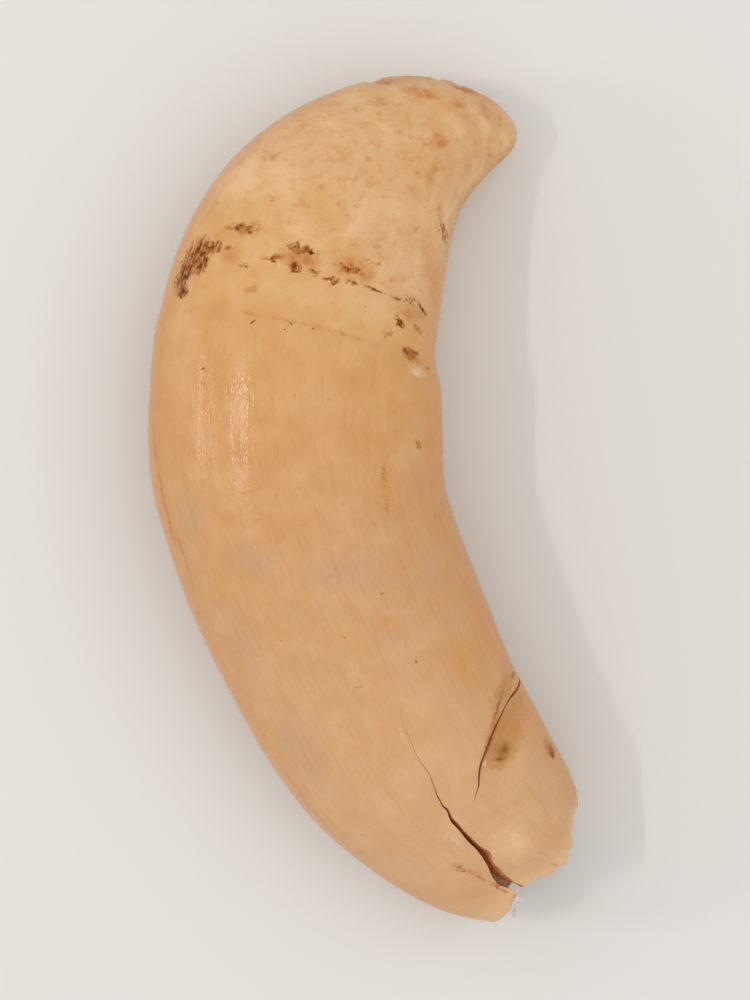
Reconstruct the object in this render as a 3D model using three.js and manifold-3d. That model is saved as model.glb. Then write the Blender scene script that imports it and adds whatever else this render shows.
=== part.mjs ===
// A sperm whale tooth lying on its side, as it rests on a table. Millimetres, +Z up.
// Seen from above the crown hooks over to +X at the top and the hollow root opens at the bottom right.
// One closed skin runs from the crown's tip down the outside, over the rim of the root and up
// the pulp cavity. A drying crack and a folded crease are then cut into the root.
// A wisp of frayed thread is snagged on the corner of the rim beside the crack.
import * as THREE from 'three';
import { LoftGeometry } from 'three/addons/geometries/LoftGeometry.js';
import { mergeVertices } from 'three/addons/utils/BufferGeometryUtils.js';
import Module from 'manifold-3d';

const wasm = await Module();
wasm.setup();

// The outline seen from above. Each rung spans the tooth from its convex edge to its concave edge,
// from the tip (rung 0) to the mouth of the root (the last rung).
const TIP = [36.1, 88.3];
const RUNGS = [
  { convex: [33.7, 92.2], concave: [34.8, 83.5] },
  { convex: [28.1, 96.4], concave: [29.0, 77.7] },
  { convex: [17.4, 100.0], concave: [23.5, 70.4] },
  { convex: [2.4, 99.6], concave: [20.6, 61.9] },
  { convex: [-15.2, 93.0], concave: [18.9, 53.0] },
  { convex: [-30.0, 81.6], concave: [17.7, 44.1] },
  { convex: [-40.9, 65.5], concave: [16.7, 34.6] },
  { convex: [-47.8, 46.0], concave: [17.4, 25.2] },
  { convex: [-50.4, 25.7], concave: [18.1, 14.0] },
  { convex: [-50.2, 6.1], concave: [19.0, 3.5] },
  { convex: [-46.2, -10.1], concave: [22.6, -8.4] },
  { convex: [-40.2, -26.9], concave: [27.5, -21.6] },
  { convex: [-32.0, -43.6], concave: [33.6, -36.3] },
  { convex: [-22.0, -61.5], concave: [40.4, -49.0] },
  { convex: [-10.5, -76.9], concave: [45.9, -59.3] },
  { convex: [4.1, -89.0], concave: [49.2, -65.9] },
  { convex: [17.8, -96.6], concave: [50.3, -69.2] },
  { convex: [30.5, -100.0], concave: [50.4, -72.0] },
];
const MOUTH = RUNGS.length;

// Thickness over width, and the clearance under the tooth, at even steps from tip to mouth.
const FLATNESS = [0.95, 0.93, 0.84, 0.77, 0.74, 0.73, 0.73, 0.72, 0.74, 0.84];
const CLEARANCE = [11.0, 6.2, 1.8, 0.0, 0.5, 0.0, 0.3, 0.7, 0.2, 0.0];
const REST_FLAT = 0.3; // how far the undersides in contact are flattened

// The rim of the root: how far it stands out past the last rung, at even steps of the angle from the
// convex edge over the top, the concave edge and the underside. Its edge is scalloped.
const REACH = [
  -0.2, -0.2, 0.0, -0.9, 0.2, 3.4, 3.2, 0.7, -0.4, 0.0, 0.4, 0.6, 0.9, 1.2, 0.4, -1.0, -0.8, -0.4,
];
const REACH_FROM = 15.2; // rung where the walls begin to run out
const SCALLOP = { depth: 1.0, count: 20, notchAt: 102, strongAt: 125, spread: 45 };
const SCALLOP_FROM = 17.3;

// The pulp cavity, as a share of the outer section, tapering to a point inside the root.
const CAVITY_SHARE = 0.87;
const CAVITY_APEX = 12.3; // rung
const CAVITY_TAPER = 1.4;
const RIM_BULGE = 0.4;

// The edge of the cementum that covers the root: a low ledge round the neck.
const LEDGE = { rung: 7.8, tilt: 0.3, height: 0.5, width: 0.16, fade: 1.6 };

// Slow swells of the surface.
const SWELL = 0.16;

// Worn flats on the convex side of the crown, each a plane that takes this depth off the surface.
const WORN_FLATS = [
  { rung: 3.6, angle: 24, depth: 0.7 },
  { rung: 2.3, angle: 40, depth: 0.5 },
];

// The fold in the root: a straight crease with a scooped hollow on the mouth's side of it.
const FOLD = { from: [36.2, -41.8], to: [25.2, -67.9], depth: 2.8, bank: 3.0, hollow: 10.0 };
const CREASE = [
  { rung: 13.4, angle: 174, width: 0.5, depth: 0.8 },
  { rung: 13.83, angle: 140, width: 0.9, depth: 1.4 },
  { rung: 14.43, angle: 120, width: 1.1, depth: 1.6 },
  { rung: 14.96, angle: 108, width: 0.7, depth: 1.2 },
  { rung: 15.25, angle: 101, width: 0.3, depth: 0.6 },
];

// The crack: a hairline up in the root that widens to a gap through the wall at the rim.
// Going down it leans towards the convex side.
const CRACK_LEAN = 0.55;
const CRACK = [
  { rung: 14.2, angle: 92, width: 0.3, depth: 4 },
  { rung: 15.03, angle: 88, width: 0.7, depth: 9 },
  { rung: 15.53, angle: 87, width: 1.0, depth: 13 },
  { rung: 15.91, angle: 86, width: 1.5, depth: 13 },
  { rung: 16.4, angle: 83.5, width: 2.0, depth: 12 },
  { rung: 17.0, angle: 78, width: 2.6, depth: 11 },
  { rung: 17.6, angle: 70, width: 3.2, depth: 10 },
  { rung: 18.8, angle: 64, width: 4.2, depth: 10 },
];
const CUT_LIFT = 1.5; // how far a cutting wedge stands out of the surface
const CUT_STEPS = 3; // lengths of wedge between two points of its path

// The snagged thread: a knot at the rim's corner and a tail that frays out.
const THREAD = [
  { at: [35.3, -92.4, 27.6], radius: 0.35 },
  { at: [35.9, -93.5, 26.4], radius: 0.75 },
  { at: [35.7, -95.1, 24.4], radius: 0.5 },
  { at: [35.2, -97.0, 21.8], radius: 0.6 },
  { at: [34.8, -98.9, 18.4], radius: 0.9 },
];

// Facets of the skin: rows of the outside, closer together about the fold.
const ANGLE_STEPS = 60;
const ROW_BANDS = [
  { until: 13.0, rows: 34 },
  { until: 15.6, rows: 14 },
  { until: 18.0, rows: 9 },
];
const CAVITY_ROWS = 10;
const THREAD_STEPS = 10;
const DEGREES = Math.PI / 180;

const vector2 = ([x, y]) => new THREE.Vector2(x, y);
const outline = new THREE.SplineCurve([
  ...RUNGS.map((rung) => vector2(rung.concave)).reverse(),
  vector2(TIP),
  ...RUNGS.map((rung) => vector2(rung.convex)),
]);
const flatnessCurve = new THREE.SplineCurve(FLATNESS.map((value, i) => new THREE.Vector2(i, value)));
const clearanceCurve = new THREE.SplineCurve(CLEARANCE.map((value, i) => new THREE.Vector2(i, value)));
const reachCurve = new THREE.CatmullRomCurve3(
  REACH.map((value) => new THREE.Vector3(0, 0, value)),
  true,
  'catmullrom',
);

// The way the mouth faces: across its rung, level.
const mouthRung = RUNGS[MOUTH - 1];
const mouthAxis = new THREE.Vector3(
  mouthRung.concave[1] - mouthRung.convex[1],
  mouthRung.convex[0] - mouthRung.concave[0],
  0,
).normalize();

// 0 before the edge low, 1 past the edge high, and smooth between.
const ramp = (value, low, high) => THREE.MathUtils.smoothstep(value, low, high);
const bell = (value, centre, spread) => Math.exp(-(((value - centre) / spread) ** 2));

// The middle of a section, and the plain ellipse of the section about it.
function section(rung) {
  const v = rung / MOUTH;
  const convex = outline.getPoint(0.5 + v / 2);
  const concave = outline.getPoint(0.5 - v / 2);
  const halfDepth = (convex.distanceTo(concave) / 2) * flatnessCurve.getPoint(v).y;
  const height = halfDepth + clearanceCurve.getPoint(v).y - REST_FLAT;
  const middle = convex.clone().add(concave).divideScalar(2);
  return { middle: new THREE.Vector3(middle.x, middle.y, height), side: convex.sub(middle), halfDepth };
}

// A point of the plain skin. The angle is 0 at the convex edge, 90 on top and 180 at the concave edge.
// Past the mouth the skin runs straight on along the mouth's axis.
const RUN_ON = 7; // length of one rung past the mouth
function plainPoint(rung, angle) {
  const { middle, side, halfDepth } = section(Math.min(rung, MOUTH));
  const across = Math.cos(angle * DEGREES);
  const point = new THREE.Vector3(side.x * across, side.y * across, halfDepth * Math.sin(angle * DEGREES));
  return point.add(middle).addScaledVector(mouthAxis, Math.max(0, rung - MOUTH) * RUN_ON);
}

function outwardNormal(rung, angle) {
  const along = plainPoint(rung + 0.05, angle).sub(plainPoint(rung - 0.05, angle));
  const around = plainPoint(rung, angle + 1).sub(plainPoint(rung, angle - 1));
  return along.cross(around).normalize();
}

// How deep the fold's hollow is below the plain skin, at a point seen from above.
function foldDepth(point) {
  const start = vector2(FOLD.from);
  const run = vector2(FOLD.to).sub(start);
  const offset = new THREE.Vector2(point.x, point.y).sub(start);
  const along = offset.dot(run) / run.lengthSq();
  const across = offset.cross(run) / -run.length();
  const lengthwise = ramp(along, 0, 0.4) * (1 - ramp(along, 0.6, 1.0));
  const sideways = across < 0 ? bell(across, 0, FOLD.bank) : 1 - ramp(across, 0, FOLD.hollow);
  return FOLD.depth * lengthwise * sideways;
}

// How far the skin stands off the plain one.
function relief(rung, angle, point, middle) {
  const turn = angle * DEGREES;
  const pastLedge = rung - LEDGE.rung - LEDGE.tilt * Math.cos(turn);
  const step = LEDGE.height * (ramp(pastLedge, -LEDGE.width, LEDGE.width) - 0.5);
  const ledge = step * bell(pastLedge, 0, LEDGE.fade);
  const swell = Math.sin(1.1 * rung + 2 * turn) + 0.7 * Math.sin(1.9 * rung - 3 * turn + 1);
  const hollow = point.z > middle.z ? foldDepth(point) : 0;
  return ledge + SWELL * swell * ramp(rung, 0, 3) - hollow;
}

// How far the rim stands out along the mouth's axis.
function reach(rung, angle) {
  const wave = Math.abs(Math.sin((SCALLOP.count / 2) * (angle - SCALLOP.notchAt) * DEGREES));
  const strength = 0.3 + 0.7 * bell(angle, SCALLOP.strongAt, SCALLOP.spread);
  const scallop = SCALLOP.depth * strength * (Math.sqrt(wave) - 0.8) * ramp(rung, SCALLOP_FROM, MOUTH);
  const runOut = reachCurve.getPoint((angle % 360) / 360).z;
  return runOut * ramp(rung, REACH_FROM, MOUTH) + scallop;
}

const wornPlanes = WORN_FLATS.map(({ rung, angle, depth }) => {
  const normal = outwardNormal(rung, angle);
  const point = plainPoint(rung, angle).addScaledVector(normal, -depth);
  return new THREE.Plane().setFromNormalAndCoplanarPoint(normal, point);
});

// The finished skin: relief on the plain section, the rim run out, worn flats and the flat underside.
function skinPoint(rung, angle, share = 1) {
  const { middle } = section(Math.min(rung, MOUTH));
  const point = plainPoint(rung, angle);
  const spoke = point.clone().sub(middle);
  if (share === 1 && spoke.length() > 0) {
    spoke.setLength(spoke.length() + relief(rung, angle, point, middle));
  }
  point.copy(middle).addScaledVector(spoke, share).addScaledVector(mouthAxis, reach(rung, angle));
  for (const plane of wornPlanes) {
    const above = plane.distanceToPoint(point);
    if (above > 0) point.addScaledVector(plane.normal, -above);
  }
  point.z = Math.max(point.z, 0);
  return point;
}

// One ring of the skin, counterclockwise seen from the mouth.
function ring(pointAt) {
  return Array.from({ length: ANGLE_STEPS }, (_, i) => pointAt(360 - (360 * i) / ANGLE_STEPS));
}

function skinSections() {
  const sections = [ring((angle) => skinPoint(0, angle))];
  let start = 0;
  for (const { until, rows } of ROW_BANDS) {
    for (let row = 1; row <= rows; row++) {
      const rung = start + ((until - start) * row) / rows;
      sections.push(ring((angle) => skinPoint(rung, angle)));
    }
    start = until;
  }
  const edgeShare = (1 + CAVITY_SHARE) / 2;
  sections.push(ring((angle) => skinPoint(MOUTH, angle, edgeShare).addScaledVector(mouthAxis, RIM_BULGE)));
  for (let row = 0; row <= CAVITY_ROWS; row++) {
    const inward = row / CAVITY_ROWS;
    const rung = MOUTH - (MOUTH - CAVITY_APEX) * inward;
    const share = CAVITY_SHARE * (1 - inward) ** CAVITY_TAPER;
    sections.push(ring((angle) => skinPoint(rung, angle, share)));
  }
  return sections;
}

// A closed geometry as a solid, without the triangles that vanish at the poles.
function solidOf(geometry) {
  const plain = new THREE.BufferGeometry().copy(geometry);
  plain.deleteAttribute('normal');
  plain.deleteAttribute('uv');
  const merged = mergeVertices(plain, 1e-3);
  const corners = merged.index.array;
  const kept = [];
  for (let i = 0; i < corners.length; i += 3) {
    const [a, b, c] = corners.slice(i, i + 3);
    if (a !== b && b !== c && c !== a) kept.push(a, b, c);
  }
  const vertProperties = merged.attributes.position.array;
  return new wasm.Manifold(new wasm.Mesh({ numProp: 3, vertProperties, triVerts: new Uint32Array(kept) }));
}

function geometryOf(solid) {
  const { vertProperties, triVerts } = solid.getMesh();
  const geometry = new THREE.BufferGeometry();
  geometry.setAttribute('position', new THREE.BufferAttribute(vertProperties, 3));
  geometry.setIndex(new THREE.BufferAttribute(triVerts, 1));
  geometry.computeVertexNormals();
  return geometry;
}

// A path with more points in it, so that what follows it keeps to the skin.
function finer(path) {
  const stops = [];
  for (let i = 0; i + 1 < path.length; i++) {
    for (let step = 0; step < CUT_STEPS; step++) {
      const share = step / CUT_STEPS;
      const between = (field) => THREE.MathUtils.lerp(path[i][field], path[i + 1][field], share);
      stops.push({
        rung: between('rung'),
        angle: between('angle'),
        width: between('width'),
        depth: between('depth'),
      });
    }
  }
  return [...stops, path[path.length - 1]];
}

// A three-sided wedge along a path on the skin, to cut a crack: its edge lies below the skin.
// A positive lean slants the cut towards the convex edge as it goes down.
function wedge(corners, lean) {
  const path = finer(corners);
  const points = path.map(({ rung, angle }) => skinPoint(rung, angle));
  const sections = path.map(({ rung, angle, width, depth }, i) => {
    const ahead = points[Math.min(i + 1, points.length - 1)];
    const behind = points[Math.max(i - 1, 0)];
    const normal = outwardNormal(Math.min(rung, MOUTH - 0.1), angle);
    const sideways = normal.clone().cross(ahead.clone().sub(behind)).normalize();
    const spread = (width / 2) * (1 + CUT_LIFT / depth);
    const top = points[i].clone().addScaledVector(normal, CUT_LIFT);
    const bottom = points[i].clone().addScaledVector(normal, -depth);
    return [
      bottom.addScaledVector(sideways, -lean * depth),
      top.clone().addScaledVector(sideways, lean * CUT_LIFT + spread),
      top.clone().addScaledVector(sideways, lean * CUT_LIFT - spread),
    ];
  });
  return solidOf(new LoftGeometry(sections, { capStart: true, capEnd: true }));
}

function toothSolid() {
  const skin = solidOf(new LoftGeometry(skinSections()));
  return skin.subtract(wedge(CREASE, 0)).subtract(wedge(CRACK, CRACK_LEAN));
}

// The thread: round rings along a smooth path, closed at both ends.
function threadGeometry() {
  const path = new THREE.CatmullRomCurve3(THREAD.map(({ at }) => new THREE.Vector3(...at)));
  const radii = new THREE.SplineCurve(THREAD.map(({ radius }, i) => new THREE.Vector2(i, radius)));
  const frames = path.computeFrenetFrames(THREAD_STEPS, false);
  const sections = frames.tangents.map((_, i) => {
    const share = i / THREAD_STEPS;
    const radius = radii.getPoint(share).y;
    return Array.from({ length: 8 }, (_unused, k) => {
      const turn = (k / 8) * 2 * Math.PI;
      return path
        .getPoint(share)
        .addScaledVector(frames.normals[i], radius * Math.cos(turn))
        .addScaledVector(frames.binormals[i], radius * Math.sin(turn));
    });
  });
  return geometryOf(solidOf(new LoftGeometry(sections, { capStart: true, capEnd: true })));
}

const ivory = new THREE.MeshStandardMaterial({ color: 0xdcb282, roughness: 0.45, metalness: 0 });
const cotton = new THREE.MeshStandardMaterial({ color: 0xe6e1da, roughness: 0.9, metalness: 0 });

const tooth = new THREE.Mesh(geometryOf(toothSolid()), ivory);
tooth.name = 'tooth';
const threadWisp = new THREE.Mesh(threadGeometry(), cotton);
threadWisp.name = 'thread_wisp';

// The origin is under the middle of the tooth, on the surface it lies on.
const extent = new THREE.Box3().setFromObject(tooth);
const middle = extent.getCenter(new THREE.Vector3());
for (const mesh of [tooth, threadWisp]) {
  mesh.geometry.translate(-middle.x, -middle.y, -extent.min.z);
}

const whaleTooth = new THREE.Group();
whaleTooth.add(tooth, threadWisp);

export default whaleTooth;
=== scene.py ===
import math
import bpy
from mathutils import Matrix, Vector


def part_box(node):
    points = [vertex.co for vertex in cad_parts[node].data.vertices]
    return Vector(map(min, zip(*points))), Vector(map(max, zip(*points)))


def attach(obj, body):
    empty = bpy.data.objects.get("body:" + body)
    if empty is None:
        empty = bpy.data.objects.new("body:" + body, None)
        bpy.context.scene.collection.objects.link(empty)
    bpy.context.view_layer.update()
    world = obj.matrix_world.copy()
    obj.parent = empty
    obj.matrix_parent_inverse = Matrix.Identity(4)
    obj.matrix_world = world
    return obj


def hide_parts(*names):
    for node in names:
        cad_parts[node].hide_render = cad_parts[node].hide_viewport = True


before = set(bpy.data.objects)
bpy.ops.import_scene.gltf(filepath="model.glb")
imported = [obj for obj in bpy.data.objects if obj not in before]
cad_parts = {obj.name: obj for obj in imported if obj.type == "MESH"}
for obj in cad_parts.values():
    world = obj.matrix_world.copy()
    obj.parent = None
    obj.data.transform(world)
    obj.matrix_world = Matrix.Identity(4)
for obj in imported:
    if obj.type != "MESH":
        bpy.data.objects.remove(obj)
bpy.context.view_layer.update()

from types import SimpleNamespace

import bpy
import numpy as np

MM = 0.001

# The outline seen from above, in millimetres, from the tip to the mouth of the root
TIP = [36.1, 88.3]
CONVEX = [
    [33.7, 92.2], [28.1, 96.4], [17.4, 100.0], [2.4, 99.6], [-15.2, 93.0], [-30.0, 81.6],
    [-40.9, 65.5], [-47.8, 46.0], [-50.4, 25.7], [-50.2, 6.1], [-46.2, -10.1], [-40.2, -26.9],
    [-32.0, -43.6], [-22.0, -61.5], [-10.5, -76.9], [4.1, -89.0], [17.8, -96.6], [30.5, -100.0],
]
CONCAVE = [
    [34.8, 83.5], [29.0, 77.7], [23.5, 70.4], [20.6, 61.9], [18.9, 53.0], [17.7, 44.1],
    [16.7, 34.6], [17.4, 25.2], [18.1, 14.0], [19.0, 3.5], [22.6, -8.4], [27.5, -21.6],
    [33.6, -36.3], [40.4, -49.0], [45.9, -59.3], [49.2, -65.9], [50.3, -69.2], [50.4, -72.0],
]
MOUTH = len(CONVEX)
OUTLINE = np.array(CONCAVE[::-1] + [TIP] + CONVEX)

# Thickness over width, and the clearance under the tooth, at even steps from tip to mouth
FLATNESS = [0.95, 0.93, 0.84, 0.77, 0.74, 0.73, 0.73, 0.72, 0.74, 0.84]
CLEARANCE = [11.0, 6.2, 1.8, 0.0, 0.5, 0.0, 0.3, 0.7, 0.2, 0.0]

# How deep the underside is trimmed flat where it rests, and the length of a rung past the mouth
REST_FLAT = 0.3
PAST_MOUTH_STEP = 7

# The rim: how far it stands out, at even steps round it, and the angles between its scallops
REACH = [-0.2, -0.2, 0.0, -0.9, 0.2, 3.4, 3.2, 0.7, -0.4, 0.0, 0.4, 0.6, 0.9, 1.2, 0.4, -1.0, -0.8, -0.4]
REACH_FROM = 15.2
RIM_BULGE = 0.4
SCALLOP_NOTCHES = [71, 82, 101, 118, 132, 151, 168, 190, 212, 229, 251, 270, 293, 312, 335, 355]
SCALLOP_FROM = 17.3
SCALLOP_DEPTH, SCALLOP_MEAN = 1.5, 0.8
SCALLOP_LEAST, SCALLOP_STRONG_AT, SCALLOP_SPREAD = 0.3, 125, 45

# The pulp cavity: its share of the section at the mouth, the rung of its end, and its taper
CAVITY_SHARE = 0.87
CAVITY_APEX = 12.3
CAVITY_TAPER = 1.4

# Relief of the skin
LEDGE_RUNG, LEDGE_TILT, LEDGE_ARCH, LEDGE_HEIGHT, LEDGE_FADE = 7.85, 0.3, 0.16, 0.42, 1.6
LEDGE_SLOPE, LEDGE_RAGGED = 0.1, 0.05
SWELL, LUMPS, LUMP_SIZE = 0.16, 0.08, 9.0
FINE_GRAIN, COARSE_GRAIN = 0.035, 0.09
FOLD_FROM, FOLD_TO = np.array([36.2, -41.8]), np.array([25.2, -67.9])
FOLD_DEPTH, FOLD_BANK, FOLD_HOLLOW = 2.6, 1.2, 9.0
UPPER_FADE = 0.25

# Worn flats on the crown as rung, angle, depth, and notches in their edge as rung, depth
WORN_FLATS = [(3.6, 24, 0.7), (2.3, 40, 0.5)]
WORN_ROUGH, WORN_ROUGH_SIZE = 0.22, 1.4
EDGE_NOTCHES = [(2.62, 0.8), (3.02, 0.6), (4.05, 0.8)]
EDGE_NOTCH_WIDTH, EDGE_NOTCH_ANGLE, EDGE_NOTCH_SPAN = 0.07, 8, 14

# Dents seen from above: middle, half length, half width, tilt
CHIP, CHIP_DEPTH = ((10.8, 33.4), 2.9, 1.7, -35), 1.2
HATCH, HATCH_DEPTH, SCRATCH_DEPTH = ((-39.5, 54.5), 7.5, 3.6, 62), 0.12, 0.1
DENT_FLOOR = 0.45

# Paths of the cuts: rung, angle, width, depth
CREASE = [
    (13.35, 178, 0.5, 0.6), (13.62, 152, 0.55, 0.8), (13.83, 140, 0.65, 0.9), (14.11, 129, 0.75, 1.0),
    (14.43, 120, 0.8, 1.0), (14.64, 114, 0.7, 0.9), (14.96, 108, 0.4, 0.6), (15.22, 101, 0.08, 0.2),
]
CRACK = [
    (13.48, 96, 0.03, 0.1), (13.79, 94, 0.06, 0.2), (14.15, 92, 0.09, 0.4), (14.5, 92, 0.13, 0.8),
    (14.78, 90, 0.2, 2), (15.03, 88, 0.36, 5), (15.28, 88, 0.65, 9), (15.53, 87, 0.95, 12),
    (15.91, 86, 1.4, 13), (16.4, 83.5, 1.9, 12), (17.0, 78, 2.3, 11), (17.6, 70, 2.7, 10),
    (18.8, 64, 3.6, 10),
]
CRACK_LEAN = 0.55
CREASE_WANDER, CRACK_WANDER = 0.08, 0.45
CREASE_SEED, CRACK_SEED = 22, 31
CUT_LIFT = 1.5
CUT_STEPS = 7

# The snagged thread, as its solid runs
THREAD = [
    (35.3, -92.4, 27.6), (35.9, -93.5, 26.4), (35.7, -95.1, 24.4), (35.2, -97.0, 21.8), (34.8, -98.9, 18.4),
]
FIBRES, FIBRE_STEPS, FIBRE_SIDES, FIBRE_SEED = 46, 14, 5, 7

# Numbers of the tooth's materials after the skin's own, which is 0
CRACK_MATERIAL = 1
CAVITY_MATERIAL = 2
CREASE_MATERIAL = 3

# How finely the skin is drawn
COLUMNS = 290
OUTER_ROWS = 288
RIM_ROWS = 6
CAVITY_ROWS = 20
FIRST_RUNG = 0.03
SHARP_ANGLE = 45

# The floor's half side in metres, and the camera's place in millimetres
FLOOR_HALF = 3.0
FLOOR_COLOUR = (0.74, 0.735, 0.72)
CAMERA_PLACE = (2.43, -0.02, 750)
CAMERA_LENS, CAMERA_SENSOR, CAMERA_NEAR = 111.5, 36.0, 0.01

# Two narrow strips that leave the highlights, and a wide soft panel:
# name, direction, then distance, width and length in metres, and watts
LAMPS = [
    ("strip_high", (-0.565, 0, 0.824), 1.3, 0.03, 0.22, 2.0),
    ("strip_low", (-0.893, 0, 0.452), 1.3, 0.03, 0.22, 1.3),
    ("overhead", (0.3, 0, 0.95), 1.8, 1.8, 1.8, 7.5),
]
LAMP_COLOUR = (1.0, 0.97, 0.93)
SKY_COLOUR = (1.0, 0.985, 0.96, 1.0)
SKY_STRENGTH = 0.75


def ramp(value, low, high):
    """0 before low, 1 past high and smooth between."""
    share = np.clip((value - low) / (high - low), 0, 1)
    return share * share * (3 - 2 * share)


def bell(value, centre, spread):
    return np.exp(-(((value - centre) / spread) ** 2))


def unit(vectors):
    return vectors / np.maximum(np.linalg.norm(vectors, axis=-1, keepdims=True), 1e-9)


def spline(points, share, closed=False):
    """A smooth curve through the points, from share 0 to share 1."""
    points = np.array(points, float).reshape(len(points), -1)
    count = len(points)
    place = np.asarray(share, float) % 1 * count if closed else np.clip(share, 0, 1) * (count - 1)
    index = np.minimum(np.floor(place).astype(int), count - 1)
    weight = (place - index)[..., None]

    def pick(i):
        return points[i % count if closed else np.clip(i, 0, count - 1)]

    before, start, end, after = (pick(index + i) for i in (-1, 0, 1, 2))
    slope_start, slope_end = (end - before) / 2, (after - start) / 2
    cubic = 2 * start - 2 * end + slope_start + slope_end
    square = -3 * start + 3 * end - 2 * slope_start - slope_end
    return ((cubic * weight + square) * weight + slope_start) * weight + start


def lattice(cells, seed):
    """A fixed value from 0 to 1 for each whole-numbered place."""
    mixed = cells @ np.array([374761393, 668265263, 1103515245]) + seed * 97531
    mixed = ((mixed ^ (mixed >> 13)) & 0x7FFFFFFF) * 1274126177
    return ((mixed ^ (mixed >> 16)) & 0xFFFF) / 0xFFFF


def noise(places, seed):
    """Smooth noise from -1 to 1 with features about one unit long."""
    cell = np.floor(places).astype(np.int64)
    part = places - cell
    part = part * part * (3 - 2 * part)
    total = np.zeros(places.shape[:-1])
    for corner in range(8):
        step = np.array([corner & 1, corner >> 1 & 1, corner >> 2 & 1])
        weight = np.prod(np.where(step, part, 1 - part), axis=-1)
        total += weight * lattice(cell + step, seed)
    return total * 2 - 1


mouth_across = np.array(CONCAVE[-1]) - np.array(CONVEX[-1])
mouth_axis = unit(np.array([mouth_across[1], -mouth_across[0], 0.0]))


def section(rung):
    """The middle, the level half-width and the half-depth of the sections at these rungs."""
    share = np.minimum(rung, MOUTH) / MOUTH
    convex = spline(OUTLINE, 0.5 + share / 2)
    concave = spline(OUTLINE, 0.5 - share / 2)
    side = (convex - concave) / 2
    half_depth = np.linalg.norm(side, axis=-1) * spline(FLATNESS, share)[..., 0]
    height = half_depth + spline(CLEARANCE, share)[..., 0] - REST_FLAT
    return np.concatenate([(convex + concave) / 2, height[..., None]], -1), side, half_depth


def plain(rung, angle):
    """The smooth skin. The angle is 0 at the convex edge, 90 on top and 180 at the concave edge."""
    middle, side, half_depth = section(rung)
    turn = np.radians(angle)
    spoke = np.concatenate([side * np.cos(turn)[..., None], (half_depth * np.sin(turn))[..., None]], -1)
    past = np.maximum(rung - MOUTH, 0)[..., None] * PAST_MOUTH_STEP * mouth_axis
    return middle, middle + spoke + past


def plain_normal(rung, angle, rung_step=0.05, angle_step=1):
    """The direction out of the smooth skin."""
    along = plain(rung + rung_step, angle)[1] - plain(rung - rung_step, angle)[1]
    around = plain(rung, angle + angle_step)[1] - plain(rung, angle - angle_step)[1]
    return unit(np.cross(along, around))


def grain_place(rung, angle, around, along):
    """A place on a drum round the tooth, for noise that is stretched along it."""
    turn = np.radians(angle)
    return np.stack([around * np.cos(turn), around * np.sin(turn), along * rung], -1)


def fold_hollow(point):
    """How deep the fold's hollow is: steep on the tip's side of the crease, scooped on the other."""
    run = FOLD_TO - FOLD_FROM
    offset = point[..., :2] - FOLD_FROM
    along = offset @ run / (run @ run)
    across = (offset[..., 1] * run[0] - offset[..., 0] * run[1]) / np.linalg.norm(run)
    lengthwise = ramp(along, 0, 0.4) * (1 - ramp(along, 0.6, 1.0))
    sideways = np.where(across < 0, bell(across, 0, FOLD_BANK), 1 - ramp(across, 0, FOLD_HOLLOW))
    return FOLD_DEPTH * lengthwise * sideways


def dent(point, centre, length, width, tilt):
    """1 at the middle of a dent seen from above, 0 outside its oval."""
    turn = math.radians(tilt)
    offset = point[..., :2] - centre
    along = offset[..., 0] * math.cos(turn) + offset[..., 1] * math.sin(turn)
    across = offset[..., 1] * math.cos(turn) - offset[..., 0] * math.sin(turn)
    return 1 - ramp(np.hypot(along / length, across / width), DENT_FLOOR, 1.0)


def relief(rung, angle, point, upper):
    """How far the skin stands off the smooth one, in millimetres."""
    turn = np.radians(angle)

    def grain(around, along, seed):
        return noise(grain_place(rung, angle, around, along), seed)

    ragged = LEDGE_RAGGED * grain(6.0, 0.0, seed=5)
    past_ledge = rung - LEDGE_RUNG - LEDGE_TILT * np.cos(turn) + LEDGE_ARCH * np.sin(turn) - ragged
    step = ramp(past_ledge, -LEDGE_SLOPE, LEDGE_SLOPE) - 0.5
    ledge = LEDGE_HEIGHT * step * bell(past_ledge, 0, LEDGE_FADE)
    swell = np.sin(1.1 * rung + 2 * turn) + 0.7 * np.sin(1.9 * rung - 3 * turn + 1)
    on_root = ramp(past_ledge, 0, 1.5)
    fine = grain(26.0, 0.9, seed=1) + 0.6 * grain(48.0, 1.6, seed=2)
    coarse = grain(9.0, 0.35, seed=3)
    lumps = noise(point / LUMP_SIZE, seed=4)
    chip = CHIP_DEPTH * dent(point, *CHIP) * upper
    hatch = dent(point, *HATCH) * upper * (HATCH_DEPTH + SCRATCH_DEPTH * grain(40.0, 2.0, seed=6))
    on_edge = bell(angle, EDGE_NOTCH_ANGLE, EDGE_NOTCH_SPAN)
    notches = sum(depth * bell(rung, at, EDGE_NOTCH_WIDTH) * on_edge for at, depth in EDGE_NOTCHES)
    out = ledge + SWELL * swell * ramp(rung, 0, 3) + LUMPS * lumps
    out += on_root * (FINE_GRAIN * fine + COARSE_GRAIN * coarse)
    return out - chip - hatch - notches - fold_hollow(point) * upper


def reach(rung, angle):
    """How far the rim stands out along the mouth's axis, with its scallops."""
    notches = np.array(SCALLOP_NOTCHES, float)
    around = np.sort(np.concatenate([notches - 360, notches, notches + 360]))
    place = np.searchsorted(around, angle % 360)
    low, high = around[place - 1], around[place]
    lobe = np.sqrt(np.sin(np.pi * (angle % 360 - low) / (high - low)).clip(0, 1))
    strength = SCALLOP_LEAST + (1 - SCALLOP_LEAST) * bell(angle, SCALLOP_STRONG_AT, SCALLOP_SPREAD)
    scallop = SCALLOP_DEPTH * strength * (lobe - SCALLOP_MEAN) * ramp(rung, SCALLOP_FROM, MOUTH)
    return spline(REACH, angle / 360, closed=True)[..., 0] * ramp(rung, REACH_FROM, MOUTH) + scallop


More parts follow.
